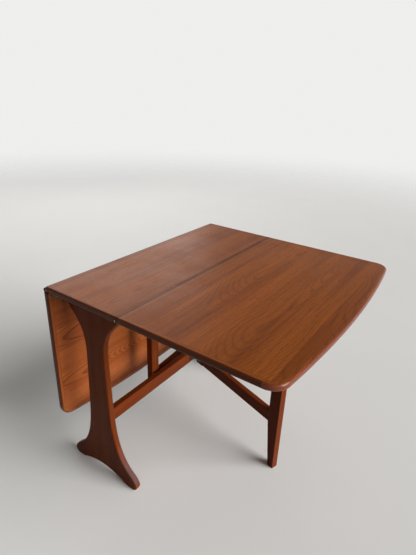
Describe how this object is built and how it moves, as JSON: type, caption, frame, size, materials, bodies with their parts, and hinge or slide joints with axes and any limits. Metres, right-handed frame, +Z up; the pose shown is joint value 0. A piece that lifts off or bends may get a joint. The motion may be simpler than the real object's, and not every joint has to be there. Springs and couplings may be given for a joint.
{
  "type": "drop leaf table",
  "caption": "Gateleg drop leaf table in teak: fixed centre top on two trestle ends, rule-jointed leaves, and a hinged gate under each leaf.",
  "frame": {"origin": "on the floor, under the middle of the centre top", "axes": "+X towards the raised leaf, +Y along the leaf hinges towards the far trestle end, +Z up"},
  "size_m": [0.849, 0.91, 0.72],
  "materials": {
    "teak_veneer": "satin lacquered teak veneer",
    "teak_edge": "satin lacquered solid teak",
    "teak_frame": "satin lacquered solid teak",
    "inner_wood": "bare hardwood",
    "brass": "brushed",
    "steel": "plain"
  },
  "bodies": {
    "frame": {"bearer_screws": "steel", "centre_top_far_lipping": "teak_edge", "centre_top_left_edge": "teak_edge", "centre_top_near_lipping": "teak_edge", "centre_top_panel": "teak_veneer", "centre_top_right_edge": "teak_edge", "far_glue_block": "inner_wood", "far_trestle_end": "teak_frame", "gate_hinge_frame_flaps": "brass", "gate_hinge_frame_screws": "brass", "gate_hinge_pins": "steel", "leaf_hinge_top_screws": "brass", "left_leaf_hinge_pins": "steel", "left_leaf_hinge_top_flaps": "brass", "near_glue_block": "inner_wood", "near_trestle_end": "teak_frame", "right_leaf_hinge_pins": "steel", "right_leaf_hinge_top_flaps": "brass", "stretcher": "teak_frame", "top_bearer": "teak_frame", "top_dowels": "inner_wood"},
    "right_leaf": {"right_leaf_far_lipping": "teak_edge", "right_leaf_gate_stop": "inner_wood", "right_leaf_hinge_flaps": "brass", "right_leaf_near_lipping": "teak_edge", "right_leaf_outer_lipping": "teak_edge", "right_leaf_panel": "teak_veneer", "right_leaf_rule_edge": "teak_edge", "right_leaf_screws": "brass"},
    "left_leaf": {"left_leaf_far_lipping": "teak_edge", "left_leaf_gate_stop": "inner_wood", "left_leaf_hinge_flaps": "brass", "left_leaf_near_lipping": "teak_edge", "left_leaf_outer_lipping": "teak_edge", "left_leaf_panel": "teak_veneer", "left_leaf_rule_edge": "teak_edge", "left_leaf_screws": "brass"},
    "right_gate": {"right_gate_hinge_flaps": "brass", "right_gate_hinge_screws": "brass", "right_gate_leg": "teak_frame", "right_gate_lower_rail": "teak_frame", "right_gate_stile": "teak_frame", "right_gate_upper_rail": "teak_frame"},
    "left_gate": {"left_gate_hinge_flaps": "brass", "left_gate_hinge_screws": "brass", "left_gate_leg": "teak_frame", "left_gate_lower_rail": "teak_frame", "left_gate_stile": "teak_frame", "left_gate_upper_rail": "teak_frame"}
  },
  "joints": [
    {"name": "right_leaf_hinge", "type": "hinge", "parent": "frame", "child": "right_leaf", "pos_m": [0.152, 0, 0.707], "axis": [0, -1, 0], "range_deg": [0, 3]},
    {"name": "left_leaf_hinge", "type": "hinge", "parent": "frame", "child": "left_leaf", "pos_m": [-0.152, 0, 0.707], "axis": [0, 1, 0], "range_deg": [0, 90]},
    {"name": "right_gate_hinge", "type": "hinge", "parent": "frame", "child": "right_gate", "pos_m": [0.017, 0.119, 0.45], "axis": [0, 0, 1], "range_deg": [-72, 0]},
    {"name": "left_gate_hinge", "type": "hinge", "parent": "frame", "child": "left_gate", "pos_m": [-0.017, -0.119, 0.45], "axis": [0, 0, 1], "range_deg": [-4, 7]}
  ]
}
